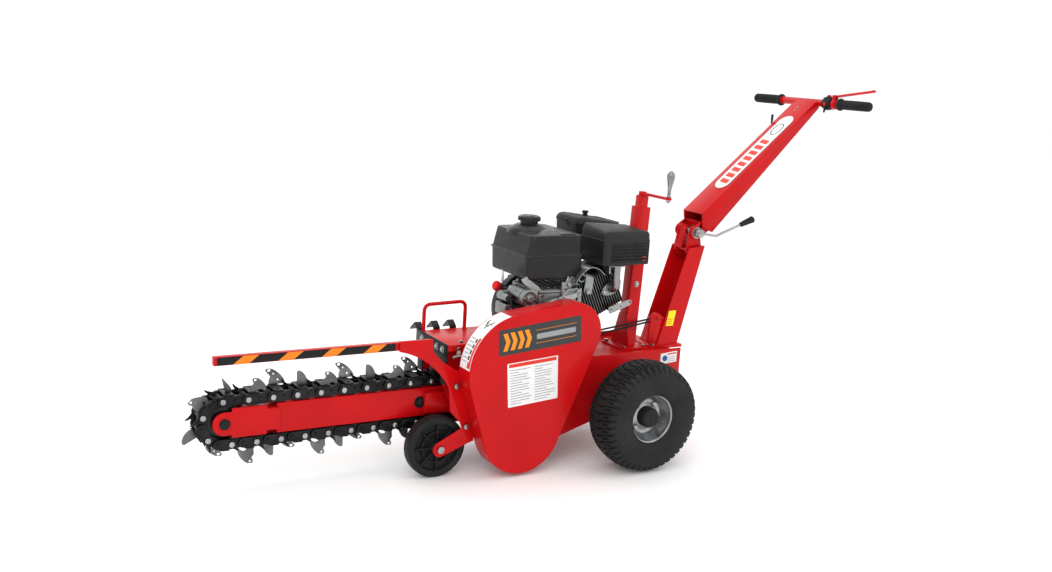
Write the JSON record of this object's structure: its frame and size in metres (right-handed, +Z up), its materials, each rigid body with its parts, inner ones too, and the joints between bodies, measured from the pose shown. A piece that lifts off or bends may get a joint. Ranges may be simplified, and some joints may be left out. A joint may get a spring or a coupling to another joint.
{
  "type": "trencher",
  "caption": "Walk-behind chain trencher: engine on a wheeled steel frame, digging chain on a tilting boom, belt drive under a cover, crank lift and a folding handle.",
  "frame": {"origin": "on the ground under the middle of the whole machine, between the two rear wheels across its width", "axes": "+X back to the operator handle, +Y to the machine's right as the operator stands, +Z up"},
  "size_m": [2.4211, 0.744, 1.3249],
  "materials": {
    "red_paint": "gloss powder coat",
    "black_paint": "satin powder coat",
    "tyre_rubber": "matte",
    "solid_rubber": "matte",
    "galvanised_rim": "galvanised",
    "black_plastic": "matte",
    "tank_plastic": "satin gloss",
    "bright_steel": "zinc plated",
    "link_steel": "blackened",
    "cutter_steel": "dark forged steel",
    "engine_cast": "as cast",
    "engine_black": "satin",
    "chromed": "polished",
    "muffler_black": "heat resistant matt",
    "belt_rubber": "matte",
    "curtain_rubber": "matte sheet",
    "grip_rubber": "matte ribbed",
    "red_plastic": "gloss",
    "sprocket_steel": "machined",
    "pulley_iron": "machined"
  },
  "bodies": {
    "frame": {"wheel_axle": "bright_steel", "main_frame": "red_paint", "chain_housing": "red_paint", "housing_lid": "red_paint", "lid_handle": "red_paint", "dirt_flap": "curtain_rubber", "flap_frame": "black_paint", "wheel_bracket": "red_paint", "safety_bar": "red_paint", "belt_cover": "red_paint", "cover_back_plate": "red_paint", "shaft_bearings": "pulley_iron", "drive_belt": "belt_rubber", "lift_post": "red_paint", "handle_column": "red_paint", "control_rods": "black_paint", "crankcase": "engine_cast", "engine_cylinder": "engine_cast", "rocker_cover": "engine_cast", "fan_housing": "engine_black", "starter_motor": "engine_cast", "fuel_tank": "tank_plastic", "muffler": "muffler_black", "exhaust_pipe": "chromed", "air_cleaner": "black_plastic", "carburettor": "engine_cast", "frame_bolts": "bright_steel"},
    "left_wheel": {"left_tyre": "tyre_rubber", "left_rim": "galvanised_rim", "left_hub_cap": "black_plastic"},
    "right_wheel": {"right_tyre": "tyre_rubber", "right_rim": "galvanised_rim", "right_hub_cap": "black_plastic"},
    "front_wheel": {"front_wheel": "solid_rubber"},
    "drive_line": {"driven_pulley": "pulley_iron", "drive_shaft": "bright_steel", "drive_sprocket": "sprocket_steel"},
    "crankshaft": {"crankshaft": "bright_steel", "clutch_pulley": "pulley_iron"},
    "boom": {"boom_beam": "red_paint", "nose_fork": "red_paint", "nose_bolt": "black_paint", "chain_outer_links": "link_steel", "chain_inner_links": "link_steel", "cutter_blades": "cutter_steel", "cutter_cups": "cutter_steel"},
    "nose_roller": {"nose_roller": "sprocket_steel"},
    "lift_crank": {"lift_crank": "red_paint"},
    "crank_grip": {"crank_grip": "chromed"},
    "upper_arm": {"upper_arm": "red_paint", "pivot_bolt": "bright_steel", "handlebar": "red_paint", "handle_grips": "grip_rubber", "switch_block": "black_plastic"},
    "clamp_lever": {"clamp_lever": "bright_steel", "clamp_grip": "black_plastic"},
    "drive_lever": {"drive_lever": "red_plastic"},
    "stop_button": {"stop_button": "red_plastic"},
    "throttle_lever": {"throttle_lever": "bright_steel"},
    "fuel_cap": {"fuel_cap": "tank_plastic"}
  },
  "joints": [
    {"name": "left_wheel_spin", "type": "hinge", "parent": "frame", "child": "left_wheel", "pos_m": [0.2706, -0.298, 0.1905], "axis": [0, 1, 0], "continuous": true},
    {"name": "right_wheel_spin", "type": "hinge", "parent": "frame", "child": "right_wheel", "pos_m": [0.2706, 0.298, 0.1905], "axis": [0, 1, 0], "continuous": true},
    {"name": "front_wheel_spin", "type": "hinge", "parent": "frame", "child": "front_wheel", "pos_m": [-0.4224, -0.106, 0.102], "axis": [0, 1, 0], "continuous": true},
    {"name": "drive_line_spin", "type": "hinge", "parent": "frame", "child": "drive_line", "pos_m": [-0.19705, 0, 0.233], "axis": [0, 1, 0], "continuous": true},
    {"name": "crankshaft_spin", "type": "hinge", "parent": "frame", "child": "crankshaft", "pos_m": [0.0206, -0.18, 0.48], "axis": [0, 1, 0], "continuous": true},
    {"name": "boom_tilt", "type": "hinge", "parent": "frame", "child": "boom", "pos_m": [-0.19705, 0, 0.233], "axis": [0, -1, 0], "range_deg": [0, 45]},
    {"name": "nose_roller_spin", "type": "hinge", "parent": "boom", "child": "nose_roller", "pos_m": [-1.0924, 0, 0.233], "axis": [0, 1, 0], "continuous": true},
    {"name": "lift_crank_spin", "type": "hinge", "parent": "frame", "child": "lift_crank", "pos_m": [0.41688, 0, 0.90409], "axis": [0.0384, 0, 0.9993], "range_deg": [0, 2160]},
    {"name": "crank_grip_spin", "type": "hinge", "parent": "lift_crank", "child": "crank_grip", "pos_m": [0.41732, -0.15, 0.91558], "axis": [0.0384, 0, 0.9993], "continuous": true},
    {"name": "handle_tilt", "type": "hinge", "parent": "frame", "child": "upper_arm", "pos_m": [0.6426, 0, 0.77], "axis": [0, 1, 0], "range_deg": [-12, 30]},
    {"name": "clamp_lever_turn", "type": "hinge", "parent": "upper_arm", "child": "clamp_lever", "pos_m": [0.6426, -0.065, 0.77], "axis": [0, 1, 0], "range_deg": [0, 90]},
    {"name": "drive_lever_squeeze", "type": "hinge", "parent": "upper_arm", "child": "drive_lever", "pos_m": [1.1826, -0.132, 1.289], "axis": [1, 0, 0], "range_deg": [0, 8], "stiffness_Nm_per_rad": 1.5, "springref_deg": -11.46},
    {"name": "stop_button_press", "type": "slide", "parent": "upper_arm", "child": "stop_button", "axis": [0, 0, -1], "range_m": [0, 0.004], "stiffness_N_per_m": 400, "springref_m": -0.001},
    {"name": "throttle_lever_turn", "type": "hinge", "parent": "upper_arm", "child": "throttle_lever", "pos_m": [1.0606, 0.066, 1.14], "axis": [0, 1, 0], "range_deg": [-30, 30]},
    {"name": "fuel_cap_turn", "type": "hinge", "parent": "frame", "child": "fuel_cap", "pos_m": [-0.0144, 0.06, 0.803], "axis": [0, 0, 1], "range_deg": [0, 90]}
  ],
  "couplings": [
    {"joint": "crankshaft_spin", "follows": "drive_line_spin", "ratio": 2.418},
    {"joint": "lift_crank_spin", "follows": "boom_tilt", "ratio": 48}
  ]
}
